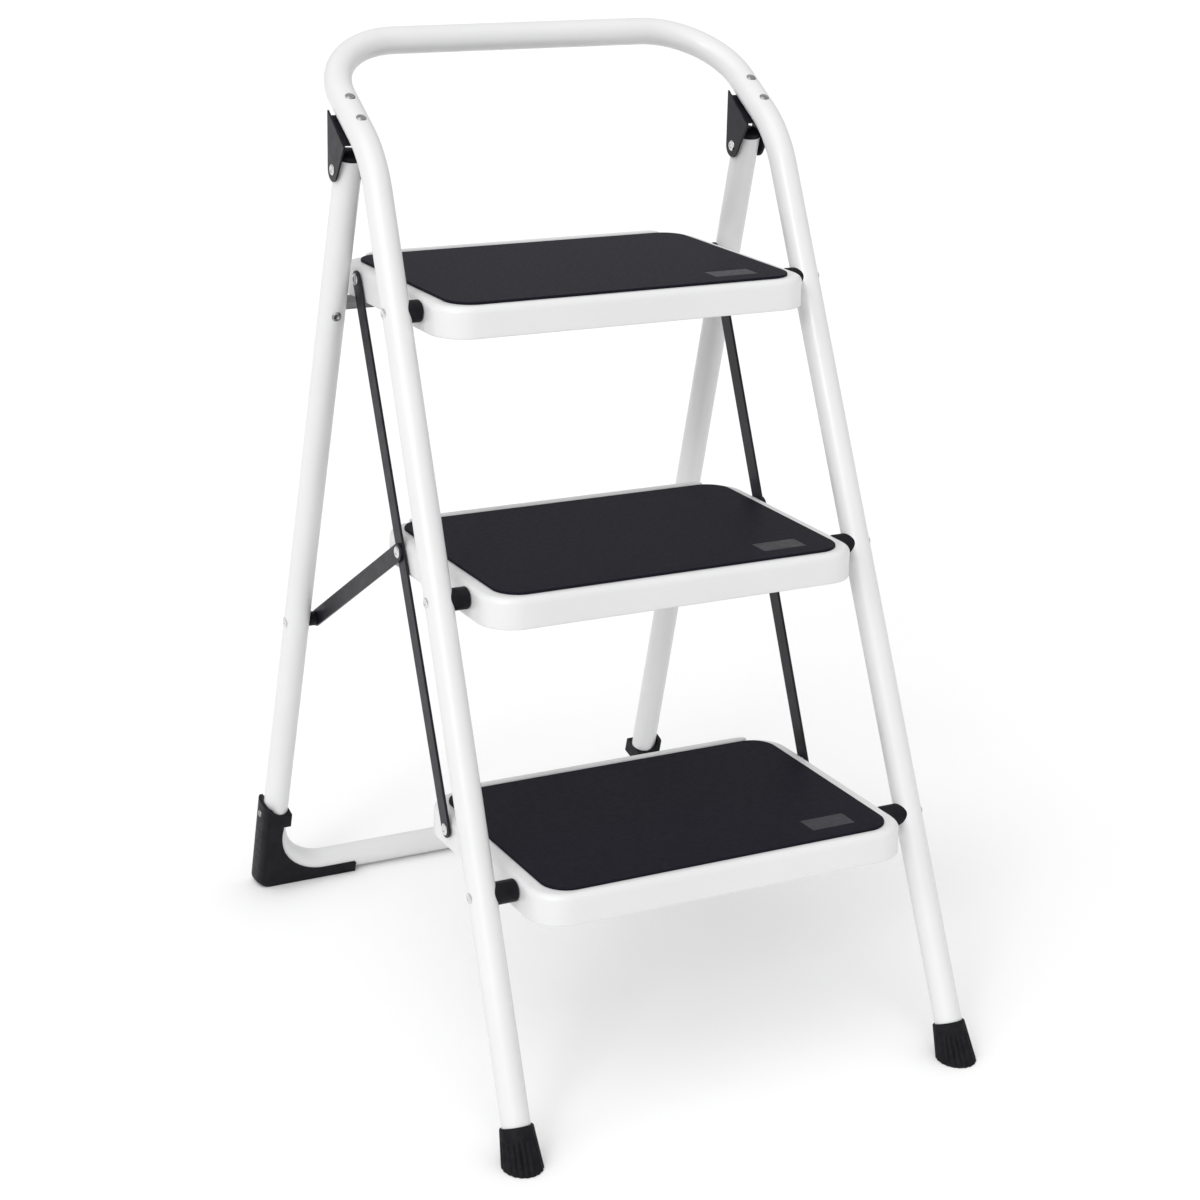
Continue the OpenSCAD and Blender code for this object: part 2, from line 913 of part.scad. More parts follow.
// The bush that holds a short link off its rear leg
module stay_bush() {
    color(BLACK)
        difference() {
            x_rod(stay_x + stay_t + side_gap, rear_leg(stay_z).x, stay_foot.y, stay_foot.z, 7);
            rod(hinge_pt, rear_corner, tube_r);
            x_rod(stay_x, foot_half, stay_foot.y, stay_foot.z, pin_r);
        }
}

module left_stay_bush() { left() stay_bush(); }
module right_stay_bush() { stay_bush(); }

// ---- Drawing ----

front_tube();
left_hinge_bracket();
right_hinge_bracket();
bracket_rivets();
left_hinge_pin();
right_hinge_pin();
left_foot_cap();
right_foot_cap();
rear_tube();
cross_bar();
cross_bar_rivets();
left_leg_plug();
right_leg_plug();
left_corner_boot();
right_corner_boot();
boot_screws();
bottom_tread();
middle_tread();
top_tread();
bottom_mat();
middle_mat();
top_mat();
bottom_mat_plate();
middle_mat_plate();
top_mat_plate();
bottom_pivot_rivets();
middle_pivot_rivets();
top_pivot_rivets();
left_bottom_sleeve();
left_middle_sleeve();
left_top_sleeve();
right_bottom_sleeve();
right_middle_sleeve();
right_top_sleeve();
bottom_arm_rivets();
middle_arm_rivets();
top_arm_rivets();
bottom_arm_washers();
middle_arm_washers();
top_arm_washers();
left_link_bar();
right_link_bar();
left_stay();
right_stay();
left_stay_rivet();
right_stay_rivet();
left_stay_pivot();
right_stay_pivot();
left_stay_bush();
right_stay_bush();
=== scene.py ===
"""Looks of the folding step stool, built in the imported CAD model's own frame.

Lengths are in millimetres and angles in degrees; put() turns millimetres into metres.
The stool faces -Y, its right is +X, and the floor is at Z = 0.
"""

import math

import bmesh
import bpy
from mathutils import Matrix, Vector


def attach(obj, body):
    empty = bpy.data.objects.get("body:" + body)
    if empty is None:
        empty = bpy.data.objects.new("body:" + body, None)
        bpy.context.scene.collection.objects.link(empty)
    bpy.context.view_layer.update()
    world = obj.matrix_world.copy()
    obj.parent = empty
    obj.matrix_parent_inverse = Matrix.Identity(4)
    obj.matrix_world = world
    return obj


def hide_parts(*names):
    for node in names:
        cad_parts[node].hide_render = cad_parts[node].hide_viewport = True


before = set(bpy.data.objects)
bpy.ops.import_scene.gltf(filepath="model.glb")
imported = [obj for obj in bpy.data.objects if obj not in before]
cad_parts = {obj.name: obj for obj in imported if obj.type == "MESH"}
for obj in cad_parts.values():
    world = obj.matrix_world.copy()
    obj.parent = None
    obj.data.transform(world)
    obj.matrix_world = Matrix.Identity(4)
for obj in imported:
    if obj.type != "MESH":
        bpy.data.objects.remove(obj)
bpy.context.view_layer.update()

MM = 0.001
X_AXIS = Vector((1, 0, 0))


def sin_d(a):
    return math.sin(math.radians(a))


def cos_d(a):
    return math.cos(math.radians(a))


def tan_d(a):
    return math.tan(math.radians(a))


# ---- The CAD model's dimensions ----

TUBE_R = 12.5
FOOT_HALF, LEG_LEAN, LEG_SPLAY = 218.0, 23.7, 1.05
KNEE_Z, HANDLE_LEAN, HANDLE_LEN, KNEE_R, RAIL_R = 793.5, 58.7, 158.5, 100.0, 77.0
HINGE_ALONG, HINGE_DROP, HINGE_HALF = 39.6, 46.8, 203.5
REAR_LEAN, REAR_SPLAY, FLOOR_BAR_Z, REAR_R = 15.5, 0.77, 14.5, 60.0
REAR_PAST_HINGE = 10.5
CROSS_BAR_DOWN, CROSS_BAR_T, CROSS_BAR_H = 140.8, 3.0, 14.0
CROSS_BAR_PAST, CROSS_BAR_CORNER = 6.5, 5
FIRST_DECK_Z, RISE = 218.0, 230.0
TRAY_W, TRAY_D, TRAY_H, TRAY_CORNER, TRAY_EDGE, GAUGE = 368.0, 248.0, 28.0, 32.0, 6.0, 1.2
PIVOT_INSET, PIVOT_DROP = 52.4, 11.0
MAT_W, MAT_D, MAT_T, MAT_CORNER = 340.0, 231.0, 2.5, 24.0
PLATE_W, PLATE_D, PLATE_CORNER, PLATE_X, PLATE_FRONT = 44, 23, 1.5, 118, 18
POCKET_DEEP, POCKET_GAP, PLATE_SUNK = 0.8, 0.05, 0.12
ARM_Y, ARM_Z = 136.7, 2.0
LINK_W, LINK_T, STAY_Z = 16.0, 2.5, 312.0
PIN_R, HEAD_H, ARM_HEAD_R = 3.0, 1.3, 5.5
PIVOT_HEAD_R, PIVOT_OUTER_H, PIVOT_SINK = 4.9, 0.85, 0.3
SMALL_RIVET_R, SMALL_HEAD_R = 2.4, 4.6
SLEEVE_R, SLEEVE_BORE_R, INTO_TUBE = 10, 4, 5
CAP_SOLE_R, CAP_TOP_R, CAP_H, CAP_SOLE_T = 18.0, 14.6, 31.0, 6
BOOT_HALF = TUBE_R + 2.6
SIDE_GAP, HEAD_GAP, WASHER_T, WASHER_R = 0.3, 0.3, 1.0, 6.5

HANDLE_UP = Vector((0, sin_d(HANDLE_LEAN), cos_d(HANDLE_LEAN)))
HANDLE_OUT = Vector((0, -cos_d(HANDLE_LEAN), sin_d(HANDLE_LEAN)))
knee_back = KNEE_Z * tan_d(LEG_LEAN)
hinge_back = knee_back + HINGE_ALONG * HANDLE_UP.y - HINGE_DROP * HANDLE_OUT.y
hinge_z = KNEE_Z + HINGE_ALONG * HANDLE_UP.z - HINGE_DROP * HANDLE_OUT.z
bar_back = hinge_back + (hinge_z - FLOOR_BAR_Z) * tan_d(REAR_LEAN)
boot_back = FLOOR_BAR_Z * tan_d(REAR_LEAN) + BOOT_HALF / cos_d(REAR_LEAN)
cap_flare = (CAP_SOLE_R - CAP_TOP_R) * cos_d(LEG_LEAN) / CAP_H
cap_front = CAP_SOLE_R / (cos_d(LEG_LEAN) - cap_flare * sin_d(LEG_LEAN))
foot_y = -(bar_back + boot_back - cap_front) / 2
hinge_y = foot_y + hinge_back
FOOT = Vector((FOOT_HALF, foot_y, 0))
KNEE = Vector((FOOT_HALF - KNEE_Z * tan_d(LEG_SPLAY), foot_y + knee_back, KNEE_Z))
RAIL = KNEE + HANDLE_LEN * HANDLE_UP
HINGE = Vector((HINGE_HALF, hinge_y, hinge_z))
LEG_DIR = Vector((-tan_d(LEG_SPLAY), tan_d(LEG_LEAN), 1)).normalized()
REAR_DOWN = Vector((tan_d(REAR_SPLAY), tan_d(REAR_LEAN), -1)).normalized()
REAR_UP = Vector((0, -sin_d(REAR_LEAN), cos_d(REAR_LEAN)))
REAR_BACK = Vector((0, cos_d(REAR_LEAN), sin_d(REAR_LEAN)))

TRAY_X = TRAY_W / 2
BAR_X = TRAY_X + WASHER_T + SIDE_GAP
STAY_X = BAR_X + LINK_T + SIDE_GAP
STEPS = ("bottom", "middle", "top")
MIDDLE = 1


def deck_z(i):
    """The height of tread i's deck."""
    return FIRST_DECK_Z + i * RISE


def front_leg(z):
    """The point of the right front leg's axis at height z."""
    return Vector((FOOT_HALF - z * tan_d(LEG_SPLAY), foot_y + z * tan_d(LEG_LEAN), z))


def rear_leg(z):
    """The point of the right rear leg's axis at height z."""
    drop = hinge_z - z
    return HINGE + Vector((drop * tan_d(REAR_SPLAY), drop * tan_d(REAR_LEAN), -drop))


def pivot(i):
    """Where tread i turns on the right front leg."""
    return front_leg(deck_z(i) - PIVOT_DROP)


def arm_end(i):
    """Where the long bars meet tread i, at x = 0."""
    return Vector((0, pivot(i).y + ARM_Y, pivot(i).z + ARM_Z))


def tray_centre(i):
    """The middle of tread i, at deck height."""
    return Vector((0, pivot(i).y - PIVOT_INSET + TRAY_D / 2, deck_z(i)))


STAY_FOOT = rear_leg(STAY_Z)
REAR_CORNER = rear_leg(FLOOR_BAR_Z)

# ---- Material nodes ----


class Look:
    """A principled material whose colour, roughness and grain come from noise."""

    def __init__(self, name, **sockets):
        self.material = bpy.data.materials.new(name)
        self.material.use_nodes = True
        self.nodes = self.material.node_tree.nodes
        self.links = self.material.node_tree.links
        self.shader = self.nodes["Principled BSDF"]
        for key, value in sockets.items():
            self.shader.inputs[key.replace("_", " ")].default_value = value
        self.where = self.nodes.new("ShaderNodeTexCoord").outputs["Object"]
        self.normal = None

    def stretched(self, scale):
        """The object's coordinates, stretched, for marks that run one way."""
        mapping = self.nodes.new("ShaderNodeMapping")
        mapping.inputs["Scale"].default_value = scale
        self.links.new(self.where, mapping.inputs["Vector"])
        return mapping.outputs["Vector"]

    def noise(self, scale, detail=3.0, rough=0.5, where=None):
        node = self.nodes.new("ShaderNodeTexNoise")
        node.inputs["Scale"].default_value = scale
        node.inputs["Detail"].default_value = detail
        node.inputs["Roughness"].default_value = rough
        self.links.new(where or self.where, node.inputs["Vector"])
        return node.outputs["Fac"]

    def cells(self, scale):
        """The distance from the middle of each cell of a Voronoi pattern."""
        node = self.nodes.new("ShaderNodeTexVoronoi")
        node.inputs["Scale"].default_value = scale
        self.links.new(self.where, node.inputs["Vector"])
        return node.outputs["Distance"]

    def ramp(self, source, low, high, start=0.3, end=0.7):
        """The colour low where the source is under start, and high where it is over end."""
        node = self.nodes.new("ShaderNodeValToRGB")
        stops = ((start, low), (end, high))
        for element, (place, colour) in zip(node.color_ramp.elements, stops):
            element.position = place
            element.color = (*colour, 1)
        self.links.new(source, node.inputs["Fac"])
        return node.outputs["Color"]

    def colour(self, source, low, high, start=0.3, end=0.7):
        colour = self.ramp(source, low, high, start, end)
        self.links.new(colour, self.shader.inputs["Base Color"])

    def blend_colour(self, base, top, share):
        node = self.nodes.new("ShaderNodeMix")
        node.data_type = "RGBA"
        self.links.new(share, node.inputs["Factor"])
        self.links.new(base, node.inputs["A"])
        self.links.new(top, node.inputs["B"])
        self.links.new(node.outputs["Result"], self.shader.inputs["Base Color"])

    def roughness(self, source, low, high):
        """Roughness from low to high over the middle of the source's range."""
        node = self.nodes.new("ShaderNodeMapRange")
        node.inputs["From Min"].default_value = 0.3
        node.inputs["From Max"].default_value = 0.7
        node.inputs["To Min"].default_value = low
        node.inputs["To Max"].default_value = high
        self.links.new(source, node.inputs["Value"])
        self.links.new(node.outputs["Result"], self.shader.inputs["Roughness"])

    def bump(self, source, strength, depth_mm):
        """Adds a bump on top of those before it."""
        node = self.nodes.new("ShaderNodeBump")
        node.inputs["Strength"].default_value = strength
        node.inputs["Distance"].default_value = depth_mm * MM
        self.links.new(source, node.inputs["Height"])
        if self.normal:
            self.links.new(self.normal, node.inputs["Normal"])
        self.normal = node.outputs["Normal"]
        self.links.new(self.normal, self.shader.inputs["Normal"])


def white_powder_coat():
    """Smooth white powder coat: a faint orange peel and a slight unevenness of gloss."""
    look = Look("white_powder_coat", Coat_Weight=0.3, Coat_Roughness=0.16)
    look.colour(look.noise(9, 4), (0.685, 0.685, 0.69), (0.715, 0.715, 0.718))
    look.roughness(look.noise(35, 3), 0.34, 0.46)
    look.bump(look.noise(420, 2), 0.25, 0.05)
    look.bump(look.noise(2600, 2), 0.15, 0.02)
    return look.material


def satin_black_paint():
    """Satin black paint on flat steel, with a fine texture and a few pale rubs."""
    look = Look("satin_black_paint", Specular_IOR_Level=0.18)
    base = look.ramp(look.noise(60, 4), (0.009, 0.0087, 0.0125), (0.016, 0.0155, 0.0205))
    rub = look.ramp(look.noise(260, 6, 0.7), (0, 0, 0), (0.5, 0.5, 0.5), 0.62, 0.74)
    pale = look.ramp(look.noise(900, 2), (0.05, 0.05, 0.055), (0.08, 0.08, 0.085))
    look.blend_colour(base, pale, rub)
    look.roughness(look.noise(120, 3), 0.3, 0.42)
    look.bump(look.noise(1500, 2), 0.3, 0.04)
    return look.material


def moulded_plastic():
    """Black moulded plastic with a spark-eroded grain."""
    look = Look("moulded_plastic", Specular_IOR_Level=0.1)
    look.colour(look.noise(80, 4), (0.0065, 0.0064, 0.0085), (0.012, 0.0118, 0.0145))
    look.roughness(look.noise(200, 3), 0.4, 0.55)
    look.bump(look.noise(1900, 4, 0.7), 0.45, 0.06)
    return look.material


def cap_rubber():
    """Matt black rubber with a dusty bloom in its grain."""
    look = Look("cap_rubber", Specular_IOR_Level=0.1)
    bloom = look.noise(140, 6, 0.65)
    look.colour(bloom, (0.006, 0.006, 0.0075), (0.014, 0.0138, 0.016), 0.35, 0.75)
    look.roughness(look.noise(300, 3), 0.55, 0.75)
    look.bump(look.noise(1300, 5, 0.7), 0.5, 0.08)
    return look.material


def mat_rubber():
    """Charcoal tread rubber: a close pebbled grain, slightly mottled."""
    look = Look("mat_rubber", Specular_IOR_Level=0.04)
    mottle = look.noise(160, 5, 0.6)
    look.colour(mottle, (0.0088, 0.0078, 0.0132), (0.0118, 0.0106, 0.0172))
    pebbles = look.cells(1100)
    look.roughness(look.noise(260, 4), 0.5, 0.56)
    look.bump(pebbles, 0.3, 0.12)
    look.bump(look.noise(2400, 3), 0.3, 0.04)
    return look.material


def plate_plastic():
    """The blank plates let into the mats: a little paler and smoother than the rubber."""
    look = Look("plate_plastic", Specular_IOR_Level=0.15)
    streaks = look.noise(900, 2, where=look.stretched((0.04, 1, 1)))
    look.colour(streaks, (0.026, 0.025, 0.031), (0.038, 0.037, 0.045))
    look.roughness(look.noise(150, 3), 0.38, 0.48)
    look.bump(streaks, 0.12, 0.03)
    return look.material


def zinc_plate():
    """Dull zinc-plated steel strip, drawn along its length."""
    look = Look("zinc_plate", Metallic=0.9)
    streaks = look.noise(700, 4, 0.6, look.stretched((0.03, 1, 1)))
    look.colour(streaks, (0.30, 0.30, 0.31), (0.46, 0.46, 0.47))
    look.roughness(look.noise(90, 4), 0.32, 0.5)
    look.bump(streaks, 0.2, 0.03)
    return look.material


def rivet_steel():
    """Zinc on small rivets and screws, dulled in patches."""
    look = Look("rivet_steel", Metallic=1.0)
    patches = look.noise(420, 5, 0.65)
    look.colour(patches, (0.20, 0.20, 0.205), (0.42, 0.42, 0.425), 0.3, 0.75)
    look.roughness(look.noise(800, 3), 0.2, 0.36)
    look.bump(look.noise(1600, 3), 0.25, 0.04)
    return look.material


def bright_rivets():
    """Polished rivet heads that mirror the white around them."""
    look = Look("bright_rivets", Metallic=1.0)
    patches = look.noise(420, 5, 0.65)
    look.colour(patches, (0.62, 0.62, 0.63), (0.82, 0.82, 0.83), 0.3, 0.75)
    look.roughness(look.noise(800, 3), 0.16, 0.3)
    look.bump(look.noise(1600, 3), 0.2, 0.03)
    return look.material


WHITE = white_powder_coat()
BLACK = satin_black_paint()
PLASTIC = moulded_plastic()
CAP = cap_rubber()
RUBBER = mat_rubber()
PLATE = plate_plastic()
ZINC = zinc_plate()
STEEL = rivet_steel()
BRIGHT = bright_rivets()

# ---- Mesh helpers: each shape is (vertices, faces) ----

AXIS_R = 0.01
WELD_M = 2e-6


def joined(*shapes):
    verts, faces = [], []
    for v, f in shapes:
        start = len(verts)
        verts += v
        faces += [tuple(i + start for i in face) for face in f]
    return verts, faces


def mirrored(shape):
    return [Vector((-v.x, v.y, v.z)) for v in shape[0]], list(shape[1])


def both_sides(shape):
    return joined(shape, mirrored(shape))


def placed(shape, matrix):
    return [matrix @ v for v in shape[0]], shape[1]


def frame_at(origin, x, y, z):
    """The matrix that takes local axes to x, y and z at origin."""
    m = Matrix((x, y, z)).transposed().to_4x4()
    m.translation = origin
    return m


def along(origin, direction):
    """A matrix with local Z along the direction."""
    m = direction.to_track_quat("Z", "Y").to_matrix().to_4x4()
    m.translation = origin
    return m


def turns(n):
    """n equal steps round a circle, in radians."""
    return [2 * math.pi * k / n for k in range(n)]


def quarter(n):
    """0 to 90 degrees in n steps."""
    return [k * 90 / n for k in range(n + 1)]


def ring_faces(a, b, n):
    """The quads between two rings of n vertices that start at a and b."""
    return [(a + i, a + (i + 1) % n, b + (i + 1) % n, b + i) for i in range(n)]


def skin(rings, close=True):
    """A skin over rings of equal length, closed at both ends or open."""
    n = len(rings[0])
    verts = [p for ring in rings for p in ring]
    faces = []
    for k in range(len(rings) - 1):
        faces += ring_faces(k * n, (k + 1) * n, n)
    if close:
        faces.append(tuple(reversed(range(n))))
        faces.append(tuple(range(len(verts) - n, len(verts))))
    return verts, faces


def lathe(profile, sides=48):
    """A turned solid about Z from (radius, height) pairs."""
    rings = []
    for r, z in profile:
        r = max(r, AXIS_R)
        rings.append([Vector((r * math.cos(t), r * math.sin(t), z)) for t in turns(sides)])
    return skin(rings)


def filleted(corners, radii, step=4.0):
    """Points and directions along straight runs joined by arcs."""
    out = [(corners[0], (corners[1] - corners[0]).normalized())]
    for k, r in enumerate(radii):
        p = corners[k + 1]
        u = (p - corners[k]).normalized()
        v = (corners[k + 2] - p).normalized()
        a = math.acos(max(-1, min(1, u.dot(v))))
        centre = p + (v - u).normalized() * r / math.cos(a / 2)
        x = (p - u * r * math.tan(a / 2) - centre).normalized()
        n = max(2, round(math.degrees(a) / step))
        for i in range(n + 1):
            t = a * i / n
            out.append((centre + r * (x * math.cos(t) + u * math.sin(t)),
                        u * math.cos(t) - x * math.sin(t)))
    out.append((corners[-1], (corners[-1] - corners[-2]).normalized()))
    return out


def tube(corners, radii, r=TUBE_R, sides=48):
    """A round bar along filleted corners, whose rings don't twist."""
    rings = []
    side = None
    last = None
    for p, d in filleted(corners, radii):
        if side is None:
            side = d.orthogonal().normalized()
        else:
            side = last.rotation_difference(d) @ side
        last = d
        other = d.cross(side)
        rings.append([p + r * (side * math.cos(t) + other * math.sin(t)) for t in turns(sides)])
    return skin(rings)


def and_back(corners):
    """The right-hand corners of a frame, then their mirror images in reverse."""
    return corners + [Vector((-p.x, p.y, p.z)) for p in reversed(corners)]


def extruded(outline, z0, z1):
    rings = [[Vector((x, y, z)) for x, y in outline] for z in (z0, z1)]
    return skin(rings)


def arc(cx, cy, r, a0, a1, n):
    """Points on a circle from angle a0 to a1."""
    step = (a1 - a0) / n
    angles = [a0 + i * step for i in range(n + 1)]
    return [(cx + r * cos_d(a), cy + r * sin_d(a)) for a in angles]


def rounded_rect(w, d, r, corner=8, long_side=1, short_side=1):
    """A rounded rectangle, with its straight sides cut into equal parts."""
    points = []
    x, y = w / 2 - r, d / 2 - r
    for k, (cx, cy) in enumerate(((x, y), (-x, y), (-x, -y), (x, -y))):
        points += arc(cx, cy, r, 90 * k, 90 * k + 90, corner)
        ax, ay = points[-1]
        bx, by = [(-x, y + r), (-x - r, -y), (x, -y - r), (x + r, y)][k]
        cuts = short_side if k % 2 else long_side
        for i in range(1, cuts):
            t = i / cuts
            points.append((ax * (1 - t) + bx * t, ay * (1 - t) + by * t))
    return points


def box(x0, x1, y0, y1, z0, z1):
    return extruded([(x0, y0), (x1, y0), (x1, y1), (x0, y1)], z0, z1)


def shaded_mesh(name, shape, smooth):
    """A mesh in metres, welded, with its edges sharp over the angle smooth."""
    mesh = bpy.data.meshes.new(name)
    verts, faces = shape
    mesh.from_pydata([v * MM for v in verts], [], faces)
    bm = bmesh.new()
    bm.from_mesh(mesh)
    bmesh.ops.remove_doubles(bm, verts=bm.verts, dist=WELD_M)
    bmesh.ops.recalc_face_normals(bm, faces=bm.faces)
    bm.to_mesh(mesh)
    bm.free()
    mesh.polygons.foreach_set("use_smooth", [True] * len(mesh.polygons))
    mesh.set_sharp_from_angle(angle=math.radians(smooth))
    return mesh


def put(name, shape, material, body, node, bevel=0.0, smooth=38):
    """Makes a piece from a shape: it rides on the body and stands for the node."""
    mesh = shaded_mesh(name, shape, smooth)
    mesh.materials.append(material)
    piece = bpy.data.objects.new(name, mesh)
    bpy.context.collection.objects.link(piece)
    if bevel:
        edge = piece.modifiers.new("bevel", "BEVEL")
        edge.width = bevel * MM
        edge.segments = 3
        edge.limit_method = "ANGLE"
        edge.angle_limit = math.radians(smooth)
        edge.harden_normals = True
    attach(piece, body)
    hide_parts(node)


def put_sides(name, shape, material, body, node, **kwargs):
    """Puts right_NAME and left_NAME for the nodes right_NODE and left_NODE.

    SIDE in the body's name becomes right or left.
    """
    for side, s in (("right", shape), ("left", mirrored(shape))):
        rides = body.replace("SIDE", side)
        put(f"{side}_{name}", s, material, rides, f"{side}_{node}", **kwargs)


# ---- Rivets: a profile is (radius, height) pairs from the rim up ----


def dome_profile(r, h):
    """A plain domed head on a short upright rim."""
    rim = 0.3 * h
    rise = h - rim
    ball = (r * r + rise * rise) / (2 * rise)
    tilt = math.degrees(math.asin(min(1, r / ball)))
    profile = [(r, 0), (r, rim * 0.8), (0.96 * r, rim + 0.05 * rise)]
    for k in range(5, -1, -1):
        a = tilt * k / 6
        profile.append((ball * sin_d(a), h - ball + ball * cos_d(a)))
    return profile


def ringed_profile(r, h):
    """A rolled head with a dished centre."""
    return [(r, 0), (r, 0.3 * h), (0.93 * r, 0.62 * h), (0.8 * r, 0.88 * h), (0.64 * r, h),
            (0.5 * r, 0.9 * h), (0.42 * r, 0.55 * h), (0.3 * r, 0.4 * h), (0, 0.36 * h)]


def rivet(x0, x1, y, z, r, head_r, h, outer_h=None):
    """A rivet along X with its heads standing on the planes x0 and x1."""
    low = [(a, -b) for a, b in reversed(ringed_profile(head_r, h))]
    shaft = [(r, 0.05), (r, x1 - x0 - 0.05)]
    high = [(a, x1 - x0 + b) for a, b in ringed_profile(head_r, outer_h or h)]
    return placed(lathe(low + shaft + high, 32), along(Vector((x0, y, z)), X_AXIS))


# ---- Front frame ----

CAP_SIDES, CAP_GROOVES, GROOVE_DEEP, GROOVE_TOP = 160, 20, 1.3, 0.74
RIVET_ALONG = (37.8, 67.3)
EAR_GAP, EAR_R, WEB_T, WEB_FROM, WEB_TO = TUBE_R + 0.5, 11.0, 2.0, 32, 73
EAR_FRONT, EAR_BACK = (28.0, -TUBE_R), (75.5, -8.5)


def front_frame():
    """Both front legs and the hand rail, in one bent tube."""
    base = FOOT + LEG_DIR * (CAP_SOLE_T / LEG_DIR.z + TUBE_R * tan_d(LEG_LEAN))
    bends = [KNEE_R, RAIL_R, RAIL_R, KNEE_R]
    shape = tube(and_back([base, KNEE, RAIL]), bends)
    put("frame_tube", shape, WHITE, "front_frame", "front_tube")


def cap_point(t, inset, top, a, out):
    """A point at angle a on the cap's side, the share t of the way up from the floor."""
    start = -out.z * CAP_SOLE_R / (LEG_DIR.z - out.z * cap_flare)
    s = start * (1 - t) + top * t
    deep = GROOVE_DEEP * max(0.0, min(1.0, (GROOVE_TOP - t) / 0.05)) * min(1.0, 0.35 + t * 12)
    wave = (0.5 - 0.5 * math.cos(CAP_GROOVES * a)) ** 3
    r = CAP_SOLE_R - cap_flare * s - inset - deep * wave
    if t == 0:
        s = -out.z * r / LEG_DIR.z
    return FOOT + LEG_DIR * s + out * r


def foot_cap():
    """A flared cap: a smooth collar over upright grooves, cut level at the floor."""
    top = CAP_H / LEG_DIR.z
    x = LEG_DIR.orthogonal().normalized()
    y = LEG_DIR.cross(x)
    spokes = [(a, x * math.cos(a) + y * math.sin(a)) for a in turns(CAP_SIDES)]
    sole, rim = [(0.0, 1.2)], [(0.985, 0.35), (1.0, 1.0)]
    side = [(t, 0.0) for t in (0.025, 0.2, 0.4, 0.55, 0.66, 0.71, GROOVE_TOP, 0.8, 0.96)]
    rings = []
    for t, inset in sole + side + rim:
        rings.append([cap_point(t, inset, top, a, out) for a, out in spokes])
    for r, s in ((TUBE_R + 0.9, top), (TUBE_R + 0.1, top - 0.7), (TUBE_R - 1, top - 3)):
        rings.append([FOOT + LEG_DIR * s + r * out for _, out in spokes])
    put_sides("cap", skin(rings), CAP, "front_frame", "foot_cap")


def heading(c, q):
    """The direction from c to q."""
    return math.degrees(math.atan2(q[1] - c[1], q[0] - c[0]))


def touch(c, r, q, side):
    """Where a line from q touches the circle of radius r about c."""
    dx, dy = q[0] - c[0], q[1] - c[1]
    a = math.atan2(dy, dx) + side * math.acos(r / math.hypot(dx, dy))
    return c[0] + r * math.cos(a), c[1] + r * math.sin(a)


def ear_outline():
    """An ear of the hinge bracket: along the handle, and outwards from it."""
    eye = (HINGE_ALONG, -HINGE_DROP)
    a0 = heading(eye, touch(eye, EAR_R, EAR_BACK, -1))
    a1 = heading(eye, touch(eye, EAR_R, EAR_FRONT, 1))
    if a1 > a0:
        a1 -= 360
    return [EAR_FRONT] + list(reversed(arc(*eye, EAR_R, a0, a1, 18))) + [EAR_BACK]


def hinge_bracket():
    """A folded channel: a web under the handle tube and two ears down to the hinge."""
    outline = ear_outline()
    half = EAR_GAP + WEB_T / 2
    ears = []
    for side in (-1, 1):
        x0 = side * half - WEB_T / 2
        ears.append(skin([[Vector((x, a, b)) for a, b in outline] for x in (x0, x0 + WEB_T)]))
    web = box(-half, half, WEB_FROM, WEB_TO, -TUBE_R - WEB_T, -TUBE_R)
    at = frame_at(Vector((HINGE_HALF, KNEE.y, KNEE.z)), X_AXIS, HANDLE_UP, HANDLE_OUT)
    shape = placed(joined(*ears, web), at)
    put_sides("bracket", shape, BLACK, "front_frame", "hinge_bracket", bevel=0.45)


def bracket_rivets():
    """Domed rivets across the handle tube and the web, their upper heads let in."""
    sink = 0.85
    below, above = -TUBE_R - WEB_T, TUBE_R - sink
    profile = [(0, below - HEAD_H)]
    profile += [(a, below - b) for a, b in reversed(dome_profile(SMALL_HEAD_R, HEAD_H))]
    profile += [(SMALL_RIVET_R, below + 0.1), (SMALL_RIVET_R, above)]
    profile += [(a, above + b) for a, b in dome_profile(SMALL_HEAD_R, HEAD_H + sink)]
    turned = lathe(profile, 32)
    shapes = [placed(turned, along(KNEE + s * HANDLE_UP, HANDLE_OUT)) for s in RIVET_ALONG]
    heads = both_sides(joined(*shapes))
    put("bracket_rivet_heads", heads, STEEL, "front_frame", "bracket_rivets")


def hinge_pins():
    """The rivets that the rear frame turns on."""
    out, head_r, head_h = EAR_GAP + WEB_T, 5.0, 1.2
    shape = rivet(HINGE_HALF - out, HINGE_HALF + out, hinge_y, hinge_z, PIN_R, head_r, head_h)
    put_sides("hinge_rivet", shape, BRIGHT, "front_frame", "hinge_pin")


def step_pivots(i):
    """The rivets that a tread turns on, and the sleeves round them."""
    step, p = STEPS[i], pivot(i)
    x0, x1 = TRAY_X - GAUGE - HEAD_GAP, p.x + TUBE_R - PIVOT_SINK
    shape = both_sides(rivet(x0, x1, p.y, p.z, PIN_R, PIVOT_HEAD_R, HEAD_H, PIVOT_OUTER_H))
    put(f"{step}_pivots", shape, BRIGHT, "front_frame", f"{step}_pivot_rivets")
    length = p.x - INTO_TUBE - TRAY_X - SIDE_GAP
    profile = [(SLEEVE_BORE_R, 0), (8.9, 0), (9.6, 0.25), (SLEEVE_R, 0.9)]
    profile += [(SLEEVE_R, length), (SLEEVE_BORE_R, length)]
    sleeve = placed(lathe(profile), along(Vector((TRAY_X + SIDE_GAP, p.y, p.z)), X_AXIS))
    put_sides(f"{step}_spacer", sleeve, PLASTIC, "front_frame", f"{step}_sleeve")


# ---- Rear frame ----

